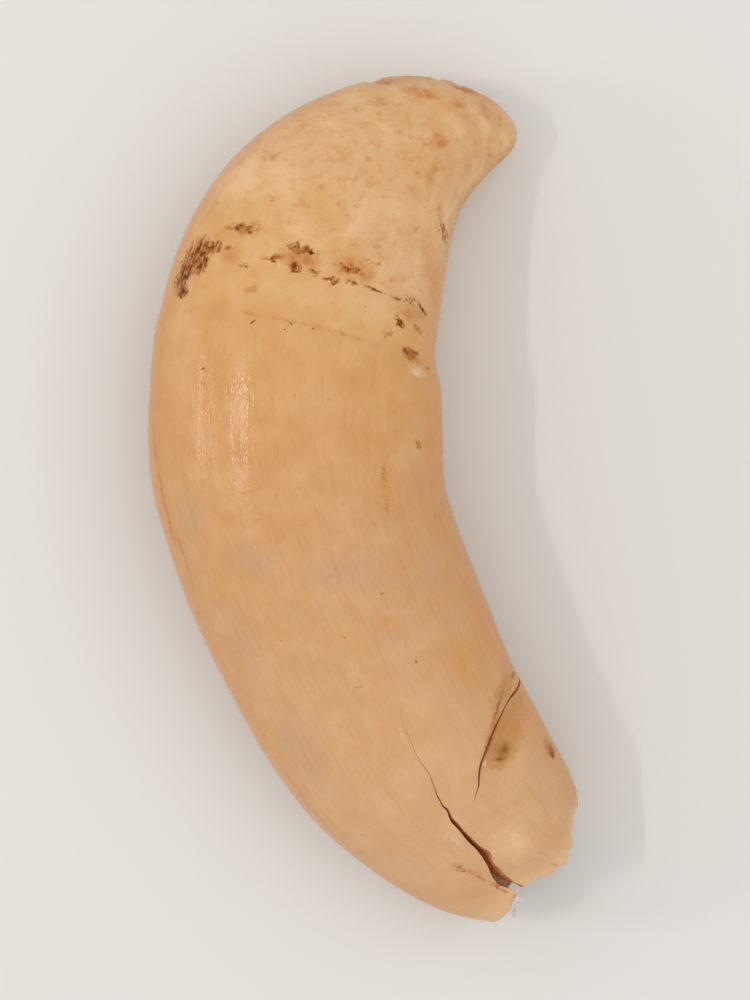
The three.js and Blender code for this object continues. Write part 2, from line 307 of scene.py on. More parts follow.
def skin(rung, angle, share=None):
    """Points of the finished skin, or of a wall at this share of the section inside it."""
    rung, angle = np.broadcast_arrays(np.asarray(rung, float), np.asarray(angle, float))
    middle, point = plain(rung, angle)
    spoke = point - middle
    if share is None:
        upper = ramp(np.sin(np.radians(angle)), 0.0, UPPER_FADE)
        spoke = spoke + unit(spoke) * relief(rung, angle, point, upper)[..., None]
    else:
        spoke = spoke * share
    point = middle + spoke + reach(rung, angle)[..., None] * mouth_axis
    for at_rung, at_angle, depth in WORN_FLATS:
        flat_rung, flat_angle = np.array([float(at_rung)]), np.array([float(at_angle)])
        normal = plain_normal(flat_rung, flat_angle)[0]
        top = plain(flat_rung, flat_angle)[1][0] - normal * depth
        rough = WORN_ROUGH * noise(point / WORN_ROUGH_SIZE, seed=8)
        above = np.maximum((point - top) @ normal + rough, 0)
        point = point - above[..., None] * normal
    point[..., 2] = np.maximum(point[..., 2], 0)
    return point


def spaced(count, low, high, weight, samples=4000):
    """Places from low to high, closer together where the weight is larger."""
    fine = np.linspace(low, high, samples)
    total = np.cumsum(weight(fine))
    return np.interp(np.linspace(total[0], total[-1], count), total, fine)


def mesh_object(name, points, faces, material_index=0):
    """A new object in the scene, from points in millimetres."""
    mesh = bpy.data.meshes.new(name)
    mesh.from_pydata((np.asarray(points) * MM).tolist(), [], faces)
    mesh.polygons.foreach_set("material_index", np.full(len(mesh.polygons), material_index, np.int32))
    mesh.update()
    obj = bpy.data.objects.new(name, mesh)
    bpy.context.scene.collection.objects.link(obj)
    return obj


def ring_faces(rings, columns):
    """Four-sided faces between closed rings, as corner numbers and as ring and column numbers."""
    ring, column = np.meshgrid(np.arange(rings - 1), np.arange(columns), indexing="ij")
    corner_ring = np.stack([ring, ring + 1, ring + 1, ring], -1).reshape(-1, 4)
    corner_column = np.stack([column, column, column + 1, column + 1], -1).reshape(-1, 4)
    return corner_ring * columns + corner_column % columns, corner_ring, corner_column


def column_weight(angle):
    """More columns on the upper side than on the underside."""
    return 0.5 + 0.7 * ramp(angle, -25, 5) * (1 - ramp(angle, 175, 205))


def row_weight(rung):
    """More rows at the fold and the crack, at the ledge and at the rim."""
    return 1 + 1.6 * bell(rung, 14.3, 1.2) + 0.7 * bell(rung, 7.3, 0.9) + 1.3 * bell(rung, 18, 0.6)


def tooth_skin():
    """The closed skin: tip, outside, rim, cavity, with a map of turn and rung on it."""
    angles = spaced(COLUMNS + 1, -90, 270, column_weight)[:-1]
    rows = [(rung, skin(rung, angles)) for rung in spaced(OUTER_ROWS, FIRST_RUNG, MOUTH, row_weight)]
    for step in range(1, RIM_ROWS):
        part = step / RIM_ROWS
        bulge = RIM_BULGE * math.sin(math.pi * part)
        edge = (1 - part) * skin(MOUTH, angles) + part * skin(MOUTH, angles, CAVITY_SHARE)
        rows.append((MOUTH, edge + bulge * mouth_axis))
    for step in range(CAVITY_ROWS):
        inward = step / CAVITY_ROWS
        rung = MOUTH - (MOUTH - CAVITY_APEX) * inward
        rows.append((rung, skin(rung, angles, CAVITY_SHARE * (1 - inward) ** CAVITY_TAPER)))
    points = np.concatenate([row for _, row in rows])
    tip, apex = len(points), len(points) + 1
    points = np.concatenate([points, skin(0.0, 0.0)[None], section(np.array([CAVITY_APEX]))[0]])
    faces, corner_ring, corner_column = ring_faces(len(rows), COLUMNS)
    here = np.arange(COLUMNS)
    following = np.roll(here, -1)
    last = (len(rows) - 1) * COLUMNS
    tip_faces = np.stack([np.full(COLUMNS, tip), here, following], -1)
    apex_faces = np.stack([np.full(COLUMNS, apex), last + following, last + here], -1)
    obj = mesh_object("tooth_body", points, tip_faces.tolist() + faces.tolist() + apex_faces.tolist())
    material = np.zeros(len(obj.data.polygons), np.int32)
    cavity_from = (OUTER_ROWS + RIM_ROWS - 1) * COLUMNS
    material[cavity_from:] = CAVITY_MATERIAL
    obj.data.polygons.foreach_set("material_index", material)
    turns = np.append(angles, 270.0) / 360
    rungs = np.array([rung for rung, _ in rows]) / MOUTH
    tip_corners = np.stack([turns[[here, here, here + 1]].T, np.zeros((COLUMNS, 3))], -1)
    skin_corners = np.stack([turns[corner_column], rungs[corner_ring]], -1)
    apex_corners = np.stack([turns[[here, here + 1, here]].T, np.full((COLUMNS, 3), rungs[-1])], -1)
    layer = obj.data.uv_layers.new(name="grain")
    corners = [part.reshape(-1, 2) for part in (tip_corners, skin_corners, apex_corners)]
    layer.data.foreach_set("uv", np.concatenate(corners).ravel())
    return obj


def wedge(name, path, lean, wander, seed, material):
    """A three-sided wedge along a path on the skin, with an uneven line and width."""
    keys = np.array(path)
    places = np.linspace(0, len(keys) - 1, (len(keys) - 1) * CUT_STEPS + 1)
    rung, angle, width, depth = (np.interp(places, np.arange(len(keys)), keys[:, i]) for i in range(4))
    points = skin(rung, angle)
    normal = plain_normal(np.minimum(rung, MOUTH - 0.1), angle)
    tangent = np.gradient(points, axis=0)
    sideways = unit(np.cross(normal, tangent))
    line = np.stack([places * 0.9, np.zeros(len(places)), np.zeros(len(places))], -1)
    bend = wander * noise(line, seed) + 0.5 * wander * noise(line * 2.7, seed + 1)
    points = points + sideways * bend[:, None]
    width = width * (1 + 0.35 * noise(line * 2.1, seed + 2))
    spread = (width / 2 * (1 + CUT_LIFT / depth))[:, None] * sideways
    top = points + CUT_LIFT * normal + lean * CUT_LIFT * sideways
    bottom = points - depth[:, None] * (normal + lean * sideways)
    rings = np.stack([bottom, top + spread, top - spread], 1)
    sides = [face[::-1] for face in ring_faces(len(rings), 3)[0].tolist()]
    end = 3 * (len(rings) - 1)
    caps = [(2, 1, 0), (end, end + 1, end + 2)]
    return mesh_object(name, rings.reshape(-1, 3), sides + caps, material)


def cut(obj, cutter):
    """Takes the cutter out of the object. The cut's walls keep the cutter's material number."""
    modifier = obj.modifiers.new("cut", "BOOLEAN")
    modifier.operation = "DIFFERENCE"
    modifier.solver = "MANIFOLD"
    modifier.object = cutter
    bpy.context.view_layer.update()
    cut_mesh = bpy.data.meshes.new_from_object(obj.evaluated_get(bpy.context.evaluated_depsgraph_get()))
    old = obj.data
    obj.modifiers.clear()
    obj.data = cut_mesh
    bpy.data.meshes.remove(old)
    bpy.data.objects.remove(cutter)


class Graph:
    """Short names for the nodes of one material."""

    def __init__(self, name):
        self.material = bpy.data.materials.new(name)
        self.material.use_nodes = True
        self.tree = self.material.node_tree
        self.shader = next(n for n in self.tree.nodes if n.type == "BSDF_PRINCIPLED")

    def put(self, socket, value):
        """Links a node's output to the socket, or sets the socket's own value."""
        if isinstance(value, bpy.types.NodeSocket):
            self.tree.links.new(value, socket)
        elif hasattr(socket.default_value, "__len__") and len(socket.default_value) == 4:
            socket.default_value = (*value[:3], 1.0)
        else:
            socket.default_value = value

    def node(self, kind, inputs=(), **settings):
        """A new node with these inputs and settings."""
        made = self.tree.nodes.new(kind)
        for key, value in settings.items():
            setattr(made, key, value)
        for key, value in dict(inputs).items():
            self.put(made.inputs[key], value)
        return made

    def math(self, operation, first, second=0.0):
        return self.node("ShaderNodeMath", {0: first, 1: second}, operation=operation).outputs[0]

    def vector(self, operation, first, second):
        return self.node("ShaderNodeVectorMath", {0: first, 1: second}, operation=operation).outputs[0]

    def scaled(self, vector, factor):
        return self.node("ShaderNodeVectorMath", {0: vector, "Scale": factor}, operation="SCALE").outputs[0]

    def ramp(self, value, low, high, start=0.0, end=1.0):
        inputs = {"Value": value, "From Min": low, "From Max": high, "To Min": start, "To Max": end}
        return self.node("ShaderNodeMapRange", inputs, interpolation_type="SMOOTHSTEP").outputs[0]

    def noise(self, place, scale, detail=2.0, roughness=0.5, colour=False):
        inputs = {"Vector": place, "Scale": scale, "Detail": detail, "Roughness": roughness}
        return self.node("ShaderNodeTexNoise", inputs).outputs[1 if colour else 0]

    def mix(self, share, first, second):
        inputs = {0: share, 6: first, 7: second}
        return self.node("ShaderNodeMix", inputs, data_type="RGBA").outputs[2]

    def bands(self, value, table, length):
        """Colours at these places along a length, blended between them."""
        made = self.node("ShaderNodeValToRGB", {0: value})
        stops = made.color_ramp.elements
        while len(stops) < len(table):
            stops.new(0.5)
        for stop, (at, colour) in zip(stops, table):
            stop.position = at / length
            stop.color = (*colour, 1.0)
        return made.outputs[0]

    def spots(self, place, table, hardness):
        """The strongest of several ovals seen from above, each x, y, length, width, tilt, strength."""
        total = 0.0
        for x, y, length, width, tilt, strength in table:
            oval = self.node("ShaderNodeTexGradient", {0: place}, gradient_type="SPHERICAL")
            oval.texture_mapping.vector_type = "TEXTURE"
            oval.texture_mapping.translation = (x, y, 0)
            oval.texture_mapping.rotation = (0, 0, math.radians(tilt))
            oval.texture_mapping.scale = (length, width, 1e6)
            inside = self.ramp(oval.outputs["Fac"], 0.0, 1 - hardness, 0.0, strength)
            total = self.math("MAXIMUM", total, inside)
        return total


def linear(red, green, blue):
    """A colour as it looks on a screen, 0 to 255, as linear light."""
    return tuple(((c / 255 + 0.055) / 1.055) ** 2.4 for c in (red, green, blue))


# The ivory from the tip to the mouth of the root: rung, colour
IVORY_BANDS = [
    (0.0, linear(207, 158, 106)),
    (3.0, linear(215, 167, 114)),
    (5.5, linear(218, 173, 126)),
    (6.9, linear(212, 160, 101)),
    (9.0, linear(207, 153, 99)),
    (11.5, linear(202, 153, 107)),
    (14.5, linear(206, 162, 118)),
    (18.0, linear(209, 167, 125)),
]
IVORY_PALE = linear(232, 194, 148)
IVORY_WARM = linear(205, 142, 80)
GREYED = linear(198, 157, 123)
DULL = linear(184, 134, 86)
TAN = linear(178, 102, 22)
AMBER = linear(192, 120, 52)
GOLDEN = linear(188, 126, 62)
UMBER = linear(140, 78, 12)
BROWN = linear(128, 66, 6)
DARK_BROWN = linear(76, 34, 2)
RUST = linear(172, 90, 44)
CHALK = linear(226, 200, 170)

# Stains, some with painted shade in them, as x, y, half length, half width, tilt, strength, in millimetres
# seen from above
HATCHED = [
    (-41.0, 52.9, 6.8, 2.3, 64, 1.0),
    (-38.0, 56.7, 5.2, 3.4, 55, 1.0),
    (-37.8, 54.2, 4.2, 2.6, 55, 0.9),
    (-41.9, 51.4, 5.2, 2.0, 68, 0.9),
    (-34.4, 57.6, 3.0, 2.0, 30, 0.8),
    (-41.6, 47.7, 2.2, 1.5, 60, 1.2),
]
GUM_SPECKS = [
    (-27.7, 62.0, 5.0, 1.4, -4, 0.7),
    (-26.0, 61.2, 1.1, 0.9, 0, 1.0),
    (-14.3, 56.9, 4.5, 1.4, -16, 1.0),
    (-12.1, 56.2, 1.6, 1.1, -10, 1.3),
    (-15.7, 52.8, 2.0, 1.8, -30, 1.25),
    (-20.5, 54.9, 3.4, 1.1, 4, 0.85),
    (-27.6, 53.1, 2.0, 0.7, 0, 0.7),
    (-30.4, 57.4, 2.1, 0.9, 0, 0.6),
    (-3.5, 52.6, 4.1, 1.4, -18, 0.95),
    (1.7, 54.1, 2.7, 1.1, -16, 0.5),
    (-11.4, 51.6, 1.4, 0.9, -14, 0.95),
    (-7.3, 49.8, 2.7, 0.9, -10, 1.05),
    (-2.8, 49.2, 2.0, 0.7, -20, 1.1),
    (10.7, 45.9, 1.1, 1.1, 0, 0.7),
    (8.1, 40.7, 2.5, 0.9, -62, 1.25),
    (5.4, 37.8, 1.4, 1.1, 0, 0.5),
    (18.3, 62.6, 4.0, 0.9, -76, 0.8),
    (12.3, 39.1, 2.3, 0.9, -50, 0.5),
]
GUM_LINE = [
    (2.4, 47.8, 3.9, 0.45, -20, 1.0),
    (7.7, 45.9, 2.5, 0.45, -18, 0.8),
    (13.3, 44.0, 2.5, 0.6, -57, 1.2),
    (14.7, 30.4, 0.9, 0.5, -30, 1.1),
]
GUM_WASH = [
    (-27.7, 61.5, 6.8, 2.7, -4, 0.6),
    (-14.6, 54.8, 7.3, 3.6, -14, 0.9),
    (-2.1, 52.2, 7.7, 3.6, -18, 0.9),
    (10.5, 43.6, 5.5, 4.1, -50, 0.7),
    (-25.5, 47.6, 2.7, 1.8, 0, 0.7),
    (-30.6, 55.8, 4.6, 2.7, 0, 0.5),
    (11.0, 33.0, 2.8, 1.7, -35, 1.2),
    (12.3, 12.8, 1.8, 0.9, -70, 1.2),
]
TIP_WASH = [
    (5.5, 97.8, 4.2, 1.3, 8, 1.5),
    (12.9, 94.8, 5.6, 2.3, -12, 1.0),
    (22.4, 92.4, 3.3, 1.6, -14, 0.8),
    (23.3, 96.9, 5.7, 1.7, -22, 1.4),
    (3.1, 91.8, 4.2, 1.4, 10, 0.6),
    (17.1, 82.9, 3.7, 3.7, 0, 0.8),
    (15.6, 75.9, 3.2, 1.9, 60, 0.6),
    (-21.7, 79.0, 3.2, 2.1, 20, 0.5),
    (-4.4, 78.7, 3.2, 3.2, 0, 0.5),
    (28.2, 91.6, 2.4, 3.8, 30, 0.6),
]
ORANGE_WASH_AND_EDGE_SHADE = [
    (24.2, -37.8, 7.8, 9.6, 20, 0.9),
    (4.2, -27.7, 4.5, 2.7, 0, 1.3),
    (-3.2, -31.7, 9.1, 6.8, 0, 0.35),
    (19.6, -20.6, 6.9, 9.2, 0, 0.4),
    (17.2, -50.0, 5.7, 5.7, 0, 0.4),
    (4.7, 2.0, 2.4, 7.0, 4, 1.2),
    # Along the concave edge by the crown: part brownish tone, part painted shade.
    (15.6, 52.0, 3.4, 14.0, 6, 0.8),
]
GREY_WASH = [
    (-39.4, -4.6, 4.6, 9.6, 14, 1.0),
    (-24.8, -13.6, 10.2, 5.4, -18, 1.0),
    (-4.4, -16.3, 13.6, 5.0, 5, 0.9),
    (15.0, -16.0, 6.9, 5.5, 0, 0.8),
    (-13.6, -57.3, 6.9, 17.2, 28, 1.0),
    (-27.0, -34.0, 5.0, 14.0, 26, 0.8),
]
# The fold's hollow and bank: real brown stain, with painted shade on the steep bank beside the crease.
HOLLOW_STAIN_AND_SHADE = [
    (32.2, -53.4, 11.6, 5.8, 66, 1.0),
    (32.0, -57.6, 5.0, 4.4, 60, 1.1),
    (34.8, -47.4, 4.4, 2.8, 60, 0.9),
    (30.4, -60.8, 4.2, 1.8, 10, 1.0),
    (31.6, -44.4, 6.5, 2.6, 64, 1.0),
    (42.9, -57.6, 3.2, 1.6, -62, 1.1),
]
# Dark umber along the crease: real brown stain and painted shade in the crease.
FOLD_DARK_AND_SHADE = [
    (31.8, -57.7, 3.8, 2.8, 70, 0.8),
    (32.2, -57.3, 2.4, 1.6, 70, 1.1),
    (31.1, -59.5, 2.5, 0.9, 8, 1.1),
    (28.4, -56.2, 4.2, 0.9, 68, 1.1),
    (30.4, -48.2, 8.0, 0.6, 70, 0.8),
    (34.5, -40.7, 1.2, 0.8, 60, 1.0),
    (29.2, -53.6, 7.5, 0.9, 66, 0.8),
    (43.4, -58.4, 2.6, 1.1, -64, 1.4),
]
ROOT_DOTS = [
    (4.5, 5.7, 0.8, 4.1, 4, 0.7),
    (5.2, -1.6, 0.7, 3.6, 4, 0.65),
    (-1.0, -42.4, 1.8, 0.4, 0, 0.9),
    (-13.8, -5.7, 0.9, 0.5, 0, 0.8),
]
MARKS = [
    (-25.2, 40.2, 1.2, 0.3, 40, 0.9),
    (-36.7, 29.8, 0.6, 0.4, 0, 1.2),
    (43.7, -59.3, 1.0, 0.6, -64, 1.2),
    (9.5, 34.0, 1.5, 0.7, -40, 0.9),
    (11.9, 33.7, 1.2, 0.4, -25, 0.7),
    (4.0, -21.3, 0.45, 0.45, 0, 0.7),
    (-23.3, -54.4, 0.45, 0.45, 0, 0.7),
    (-18.1, 38.6, 0.4, 0.35, 0, 0.9),
    (-16.5, 39.7, 0.35, 0.35, 0, 0.9),
    (-11.6, 38.6, 0.35, 0.35, 0, 0.9),
    (11.7, -36.8, 0.4, 0.6, 0, 0.8),
]
EDGE_LINES = [
    (-47.2, 4.6, 11.5, 0.5, -80, 1.0),
    (-45.2, -4.6, 9.2, 0.45, -76, 1.0),
    (-42.0, -11.5, 7.5, 0.5, -72, 0.9),
    (-48.4, 12.0, 9.0, 0.4, -84, 0.8),
]
LOBE_STREAK = [
    (22.5, -85.3, 3.9, 1.2, -22, 1.0),
    (26.3, -87.1, 3.2, 0.9, -34, 0.8),
    (31.3, -90.0, 3.7, 0.9, -32, 1.0),
]
CHALKY = [
    (12.1, 29.3, 3.2, 1.6, -25, 0.9),
    (27.6, -60.5, 1.1, 0.9, 0, 1.2),
    (20.8, -78.1, 4.6, 1.1, -50, 0.5),
    (8.6, -53.4, 0.7, 4.1, 22, 0.5),
]
PALE_WASH = [
    (-41.0, 33.0, 6.0, 16.0, 0, 0.4),
    (34.0, -79.0, 7.0, 6.0, 0, 1.0),
    (-28.0, 73.0, 9.0, 7.0, 45, 1.0),
    (20.0, -74.0, 6.0, 4.0, -50, 0.6),
]


def ivory_textures(g):
    """The places, shares and noises that the ivory's colour and relief are made from."""
    t = SimpleNamespace()
    t.place = g.scaled(g.node("ShaderNodeTexCoord").outputs["Object"], 1 / MM)
    t.height = g.node("ShaderNodeSeparateXYZ", {0: t.place}).outputs[2]
    normal = g.node("ShaderNodeNewGeometry").outputs["Normal"]
    t.upper = g.ramp(g.node("ShaderNodeSeparateXYZ", {0: normal}).outputs[2], 0.0, UPPER_FADE)

    # Grain that runs along the tooth, on a drum about it
    drum = g.node("ShaderNodeSeparateXYZ", {0: g.node("ShaderNodeUVMap", uv_map="grain").outputs[0]})
    turn = g.math("MULTIPLY", drum.outputs[0], 2 * math.pi)
    t.cosine, t.sine = g.math("COSINE", turn), g.math("SINE", turn)
    t.length_share = drum.outputs[1]
    t.rung = g.math("MULTIPLY", t.length_share, float(MOUTH))

    def grain(around, along):
        stretched = [(t.cosine, around), (t.sine, around), (t.rung, along)]
        parts = {axis: g.math("MULTIPLY", *pair) for axis, pair in enumerate(stretched)}
        return g.node("ShaderNodeCombineXYZ", parts).outputs[0]

    arch = g.math("SUBTRACT", LEDGE_RUNG, g.math("MULTIPLY", t.sine, LEDGE_ARCH))
    ledge_at = g.math("ADD", g.math("MULTIPLY", t.cosine, LEDGE_TILT), arch)
    t.past_ledge = g.math("SUBTRACT", t.rung, ledge_at)
    t.on_root = g.ramp(t.past_ledge, -0.1, 0.15)

    # Places that wander a little, for the edges of the stains
    wobble = g.vector("SUBTRACT", g.noise(t.place, 0.9, 2.0, colour=True), (0.5, 0.5, 0.5))
    t.ragged = g.vector("ADD", t.place, g.scaled(wobble, 3.2))
    t.close = g.vector("ADD", t.place, g.scaled(wobble, 0.9))

    t.broad = g.noise(t.place, 0.06, 2.0)
    t.cloudy = g.noise(t.place, 0.16, 2.5, 0.5)
    t.blotchy = g.noise(t.place, 0.35, 3.0, 0.65)
    t.streaks = g.noise(grain(14.0, 0.5), 1.0, 3.0, 0.6)
    t.hairs = g.noise(grain(44.0, 2.8), 1.0, 3.0, 0.65)
    t.hatch = g.noise(grain(52.0, 2.2), 1.0, 2.0, 0.7)
    t.specks = g.noise(t.place, 0.85, 2.0, 0.55)
    t.grit = g.noise(t.place, 2.6, 2.0, 0.6)
    t.dimples = g.noise(grain(40.0, 9.0), 1.0, 1.0)
    return t


def plain_ivory(g, t):
    """Bands of colour from tip to mouth, paler and warmer clouds, painted shade along the side edges, and
    streaks along the root.
    """
    wander = g.math("MULTIPLY", g.math("SUBTRACT", t.broad, 0.5), 0.12)
    colour = g.bands(g.math("ADD", t.length_share, wander), IVORY_BANDS, MOUTH)
    pale = g.math("MULTIPLY", g.ramp(t.cloudy, 0.25, 0.9), g.ramp(t.past_ledge, -1.5, 0.5, 0.8, 0.3))
    colour = g.mix(pale, colour, IVORY_PALE)
    colour = g.mix(g.ramp(t.broad, 0.45, 0.8, 0.0, 0.3), colour, IVORY_WARM)
    # Painted shade: warmer and darker towards the convex and concave side edges, against the pale
    # reflection there.
    colour = g.mix(g.ramp(g.math("ABSOLUTE", t.cosine), 0.8, 1.0, 0.0, 0.6), colour, IVORY_WARM)
    streaked = g.math("MULTIPLY", g.ramp(t.streaks, 0.5, 0.75, 0.0, 0.25), t.on_root)
    colour = g.mix(streaked, colour, IVORY_WARM)
    striped = g.math("MULTIPLY", g.ramp(t.hairs, 0.48, 0.72, 0.0, 0.3), t.on_root)
    striped = g.math("MULTIPLY", striped, g.ramp(t.rung, 15.0, 12.0, 0.4, 1.0))
    colour = g.mix(striped, colour, DULL)
    colour = g.mix(g.ramp(t.grit, 0.5, 0.75, 0.0, 0.14), colour, DULL)
    mottled = g.math("MULTIPLY", g.ramp(t.blotchy, 0.45, 0.75, 0.0, 0.35), g.ramp(t.past_ledge, 0.0, -2.0))
    colour = g.mix(mottled, colour, AMBER)
    return g.mix(g.ramp(t.rung, 17.2, 17.9, 0.0, 0.5), colour, IVORY_PALE)


def stained_and_shaded(g, t, colour):
    """The colour under its washes, specks and marks, partly painted shade at the fold and the concave edge,
    each a set of ovals broken up by a noise.
    """

    def ovals(where, table, hardness=0.0):
        return g.math("MULTIPLY", g.spots(where, table, hardness), t.upper)

    def paint_tint(colour, mask, texture, low, high, tint, strength):
        broken = g.math("MULTIPLY", g.ramp(texture, low, high, 0.0, strength), mask)
        return g.mix(g.node("ShaderNodeClamp", {0: broken}).outputs[0], colour, tint)

    colour = paint_tint(colour, ovals(t.ragged, PALE_WASH), t.cloudy, 0.1, 0.5, IVORY_PALE, 0.7)
    greyed = ovals(t.ragged, GREY_WASH)
    colour = paint_tint(colour, greyed, t.cloudy, 0.15, 0.5, GREYED, 0.8)
    colour = paint_tint(colour, greyed, t.hatch, 0.5, 0.7, DULL, 0.55)
    # Warm washes; the one along the concave edge by the crown is partly painted shade.
    colour = paint_tint(colour, ovals(t.ragged, ORANGE_WASH_AND_EDGE_SHADE), t.cloudy, 0.2, 0.7, IVORY_WARM, 0.9)
    colour = paint_tint(colour, ovals(t.ragged, TIP_WASH, 0.2), t.blotchy, 0.2, 0.65, AMBER, 0.9)
    colour = paint_tint(colour, ovals(t.ragged, GUM_WASH, 0.1), t.blotchy, 0.15, 0.6, TAN, 0.85)
    # The fold: golden stain over its hollow and umber along its crease, both partly painted shade.
    colour = paint_tint(colour, ovals(t.ragged, HOLLOW_STAIN_AND_SHADE, 0.35), t.blotchy, 0.0, 0.5, GOLDEN, 0.62)
    colour = paint_tint(colour, ovals(t.close, FOLD_DARK_AND_SHADE), t.specks, 0.1, 0.5, UMBER, 0.9)
    colour = paint_tint(colour, ovals(t.ragged, LOBE_STREAK, 0.1), t.specks, 0.25, 0.6, RUST, 0.85)
    colour = paint_tint(colour, ovals(t.close, CHALKY, 0.1), t.specks, 0.3, 0.6, CHALK, 0.8)
    colour = paint_tint(colour, ovals(t.close, EDGE_LINES, 0.2), t.blotchy, 0.3, 0.55, TAN, 0.55)
    speckled = ovals(t.ragged, GUM_SPECKS, 0.25)
    colour = paint_tint(colour, speckled, t.specks, 0.3, 0.52, TAN, 0.8)
    colour = paint_tint(colour, speckled, t.specks, 0.36, 0.62, BROWN, 0.9)
    colour = paint_tint(colour, speckled, t.specks, 0.56, 0.7, DARK_BROWN, 0.9)
    colour = paint_tint(colour, ovals(t.close, GUM_LINE, 0.2), t.specks, 0.3, 0.5, BROWN, 1.0)
    colour = paint_tint(colour, ovals(t.place, ROOT_DOTS, 0.2), t.grit, 0.45, 0.65, BROWN, 0.8)
    colour = paint_tint(colour, ovals(t.close, MARKS, 0.3), t.grit, 0.1, 0.4, BROWN, 1.0)
    hatched = ovals(t.ragged, HATCHED, 0.25)
    colour = paint_tint(colour, hatched, t.cloudy, 0.1, 0.4, TAN, 0.75)
    torn = g.math("ADD", t.hatch, g.ramp(t.specks, 0.3, 0.7, -0.12, 0.12))
    colour = paint_tint(colour, hatched, torn, 0.34, 0.54, BROWN, 1.0)
    return paint_tint(colour, hatched, torn, 0.5, 0.64, DARK_BROWN, 0.95)


def pinprick_pits(g, t):
    """Scattered tiny pits: 1 in a pit, 0 elsewhere."""
    cells = g.node("ShaderNodeTexVoronoi", {"Vector": t.close, "Scale": 0.22}).outputs["Distance"]
    return g.math("MULTIPLY", g.ramp(cells, 0.09, 0.03), g.ramp(t.cloudy, 0.52, 0.62))


def flecked_lined_and_shaded_low(g, t, colour):
    """The colour under faint flecks, a thin broken line along the ledge, and painted shade: warmer and
    darker within 4 mm of the floor.
    """
    flecks = g.node("ShaderNodeTexVoronoi", {"Vector": t.ragged, "Scale": 0.3}).outputs["Distance"]
    flecked = g.math("MULTIPLY", g.ramp(flecks, 0.32, 0.05), g.ramp(t.blotchy, 0.4, 0.6, 0.0, 0.55))
    flecked = g.math("MULTIPLY", flecked, g.ramp(t.past_ledge, 0.0, -1.5, 0.25, 1.0))
    colour = g.mix(flecked, colour, AMBER)
    line = g.ramp(g.math("ABSOLUTE", t.past_ledge), 0.05, 0.0)
    line = g.math("MULTIPLY", line, g.ramp(t.blotchy, 0.45, 0.65, 0.0, 0.6))
    line = g.math("MULTIPLY", line, g.ramp(t.sine, 0.75, 1.0, 0.1, 1.0))
    colour = g.mix(line, colour, TAN)
    # Painted shade under the tooth: warmer and darker within 4 mm of the floor.
    return g.mix(g.ramp(t.height, 4.0, 0.0, 0.0, 0.25), colour, IVORY_WARM)


def ivory_material():
    """Worn ivory with its stains, painted shade, pits and gloss."""
    g = Graph("ivory_skin")
    t = ivory_textures(g)
    pits = pinprick_pits(g, t)
    colour = stained_and_shaded(g, t, plain_ivory(g, t))
    colour = g.mix(g.math("MULTIPLY", pits, 0.3), colour, BROWN)
    bump_height = g.math("ADD", g.math("MULTIPLY", t.hairs, 0.3), t.dimples)
    bump_height = g.math("SUBTRACT", bump_height, pits)
    bump = g.node("ShaderNodeBump", {"Strength": 0.42, "Distance": 0.0002, "Height": bump_height})
    g.put(g.shader.inputs["Base Color"], flecked_lined_and_shaded_low(g, t, colour))
    g.put(g.shader.inputs["Roughness"], g.ramp(t.cloudy, 0.3, 0.7, 0.14, 0.23))
    g.put(g.shader.inputs["Normal"], bump.outputs[0])
    g.put(g.shader.inputs["Specular IOR Level"], 0.16)
    g.put(g.shader.inputs["IOR"], 1.53)
    return g.material


def wall_material(name, dark, light):
    """The rough dentine of a broken face or of the cavity, in the colours given; the cavity's are darkened
    as painted shade.
    """
    g = Graph(name)
    place = g.scaled(g.node("ShaderNodeTexCoord").outputs["Object"], 1 / MM)
    fine = g.noise(place, 1.4, 4.0, 0.65)
    bump = g.node("ShaderNodeBump", {"Strength": 0.6, "Distance": 0.0003, "Height": fine})
    g.put(g.shader.inputs["Base Color"], g.mix(g.ramp(fine, 0.35, 0.65), dark, light))
    g.put(g.shader.inputs["Roughness"], 0.7)
    g.put(g.shader.inputs["Normal"], bump.outputs[0])
    return g.material


def cotton_material():
    """White cotton, a little uneven."""
    g = Graph("cotton_fibre")
    coordinates = g.node("ShaderNodeTexCoord").outputs["Object"]
    fine = g.noise(coordinates, 900.0, 2.0)
    g.put(g.shader.inputs["Base Color"], g.mix(fine, linear(214, 206, 198), linear(246, 242, 238)))
    g.put(g.shader.inputs["Roughness"], 0.85)
    return g.material


def tooth_piece():
    """The tooth with its cuts, moved sideways onto the middle of its solid."""
    obj = tooth_skin()
    obj.data.materials.append(ivory_material())
    obj.data.materials.append(wall_material("crack_wall", linear(168, 98, 52), linear(226, 150, 90)))
    # The cavity's dentine, darkened to a deep brown as painted shade for the inside of the cavity.
    obj.data.materials.append(wall_material("cavity_wall_painted_shade", linear(128, 92, 60), linear(172, 130, 92)))
    obj.data.materials.append(wall_material("crease_wall", linear(156, 90, 30), linear(194, 120, 50)))
    cut(obj, wedge("crease_cutter", CREASE, 0.0, CREASE_WANDER, CREASE_SEED, CREASE_MATERIAL))
    cut(obj, wedge("crack_cutter", CRACK, CRACK_LEAN, CRACK_WANDER, CRACK_SEED, CRACK_MATERIAL))
    points = np.empty(len(obj.data.vertices) * 3)
    obj.data.vertices.foreach_get("co", points)
    points = points.reshape(-1, 3)
    low, high = (np.array(corner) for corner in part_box("tooth"))
    points[:, :2] += (low + high)[:2] / 2 - (points.min(0) + points.max(0))[:2] / 2
    obj.data.vertices.foreach_set("co", points.ravel())
    obj.data.polygons.foreach_set("use_smooth", np.ones(len(obj.data.polygons), bool))
    obj.data.set_sharp_from_angle(angle=math.radians(SHARP_ANGLE))
    obj.data.update()
    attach(obj, "root")
    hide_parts("tooth")


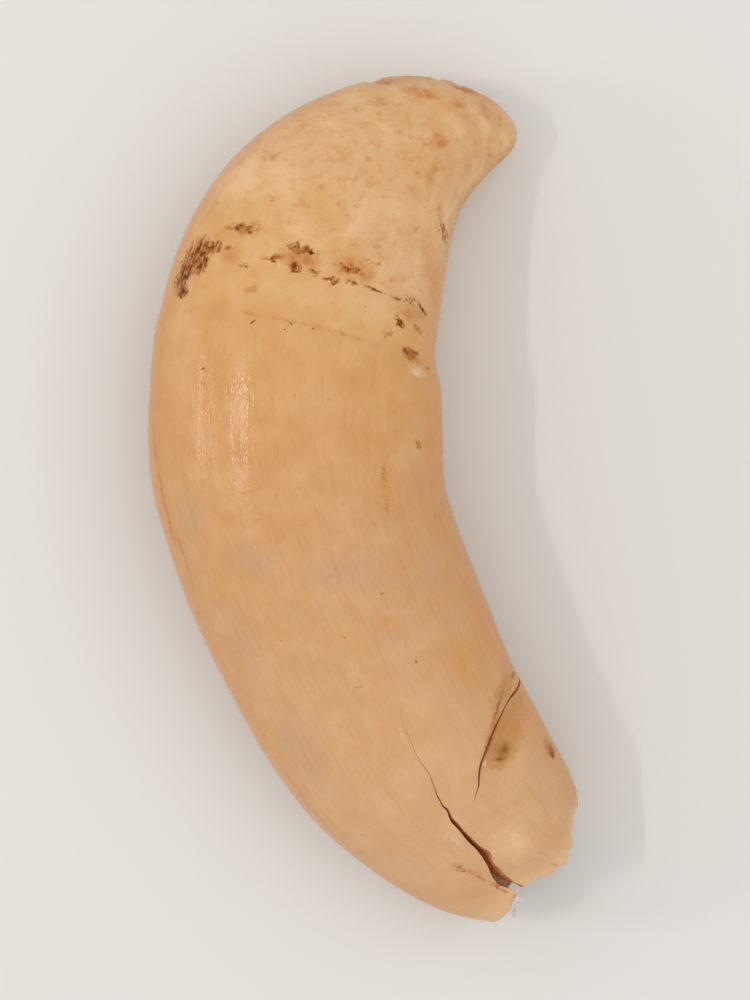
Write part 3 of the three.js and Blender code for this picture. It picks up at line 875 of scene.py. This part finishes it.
def thread_piece():
    """A twisted wisp: fibres that leave one knot and spread towards the free end."""
    picks = np.random.default_rng(FIBRE_SEED)
    share = np.linspace(0, 1, FIBRE_STEPS)
    turn = np.arange(FIBRE_SIDES) * 2 * math.pi / FIBRE_SIDES
    beside = np.array([1.0, 0.2, 0.1])
    points, faces = [], []
    for fibre in range(FIBRES):
        reach_to = picks.uniform(0.55, 1.0)
        start = picks.uniform(0.0, 0.2)
        along = start + (reach_to - start) * share
        core = spline(THREAD, along)
        swing = picks.uniform(0, 2 * math.pi) + 5 * share * picks.uniform(0.5, 1.3)
        knot = 0.6 * bell(along, 0.22, 0.13) * picks.uniform(0.3, 1.0)
        fray = 0.75 * along**2 * picks.uniform(0.1, 1.0)
        spread = 0.12 + knot + fray
        tangent = unit(np.gradient(core, axis=0))
        first = unit(np.cross(tangent, beside))
        second = np.cross(tangent, first)
        offset = np.cos(swing)[:, None] * first + np.sin(swing)[:, None] * second
        centre = core + spread[:, None] * offset
        thick = picks.uniform(0.05, 0.085) * (1 - 0.5 * share)
        ring = np.cos(turn)[None, :, None] * first[:, None] + np.sin(turn)[None, :, None] * second[:, None]
        rings = centre[:, None] + thick[:, None, None] * ring
        base = fibre * FIBRE_STEPS * FIBRE_SIDES
        end = base + (FIBRE_STEPS - 1) * FIBRE_SIDES
        faces += (ring_faces(FIBRE_STEPS, FIBRE_SIDES)[0] + base).tolist()
        faces.append([base + i for i in range(FIBRE_SIDES)])
        faces.append([end + i for i in reversed(range(FIBRE_SIDES))])
        points.append(rings.reshape(-1, 3))
    obj = mesh_object("thread_fibres", np.concatenate(points), faces)
    obj.data.materials.append(cotton_material())
    obj.data.polygons.foreach_set("use_smooth", np.ones(len(obj.data.polygons), bool))
    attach(obj, "root")
    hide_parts("thread_wisp")


def floor_piece():
    """A plain pale floor under the tooth."""
    mesh = bpy.data.meshes.new("floor")
    corners = [(x * FLOOR_HALF, y * FLOOR_HALF, 0) for x, y in ((-1, -1), (1, -1), (1, 1), (-1, 1))]
    mesh.from_pydata(corners, [], [(0, 1, 2, 3)])
    floor = bpy.data.objects.new("floor", mesh)
    bpy.context.scene.collection.objects.link(floor)
    g = Graph("floor_paper")
    g.put(g.shader.inputs["Base Color"], FLOOR_COLOUR)
    g.put(g.shader.inputs["Roughness"], 0.9)
    mesh.materials.append(g.material)


def lamp(name, direction, distance, width, length, watts):
    """A soft panel that faces the tooth, its length running along Y."""
    light = bpy.data.lights.new(name, "AREA")
    light.shape = "RECTANGLE"
    light.size = width
    light.size_y = length
    light.energy = watts
    light.color = LAMP_COLOUR
    obj = bpy.data.objects.new(name, light)
    toward = unit(np.array(direction, float))
    obj.location = toward * distance
    obj.rotation_euler = (0, math.atan2(toward[0], toward[2]), 0)
    bpy.context.scene.collection.objects.link(obj)


def studio():
    """The lamps and an even pale sky."""
    for row in LAMPS:
        lamp(*row)
    world = bpy.data.worlds.new("studio")
    world.use_nodes = True
    background = next(n for n in world.node_tree.nodes if n.type == "BACKGROUND")
    background.inputs["Color"].default_value = SKY_COLOUR
    background.inputs["Strength"].default_value = SKY_STRENGTH
    bpy.context.scene.world = world
    bpy.context.scene.view_settings.view_transform = "Standard"


def camera():
    """Straight above the tooth, at the distance and framing of the photo."""
    data = bpy.data.cameras.new("camera")
    data.lens = CAMERA_LENS
    data.sensor_width = CAMERA_SENSOR
    data.clip_start = CAMERA_NEAR
    obj = bpy.data.objects.new("camera", data)
    obj.location = [v * MM for v in CAMERA_PLACE]
    bpy.context.scene.collection.objects.link(obj)
    bpy.context.scene.camera = obj


tooth_piece()
thread_piece()
floor_piece()
studio()
camera()
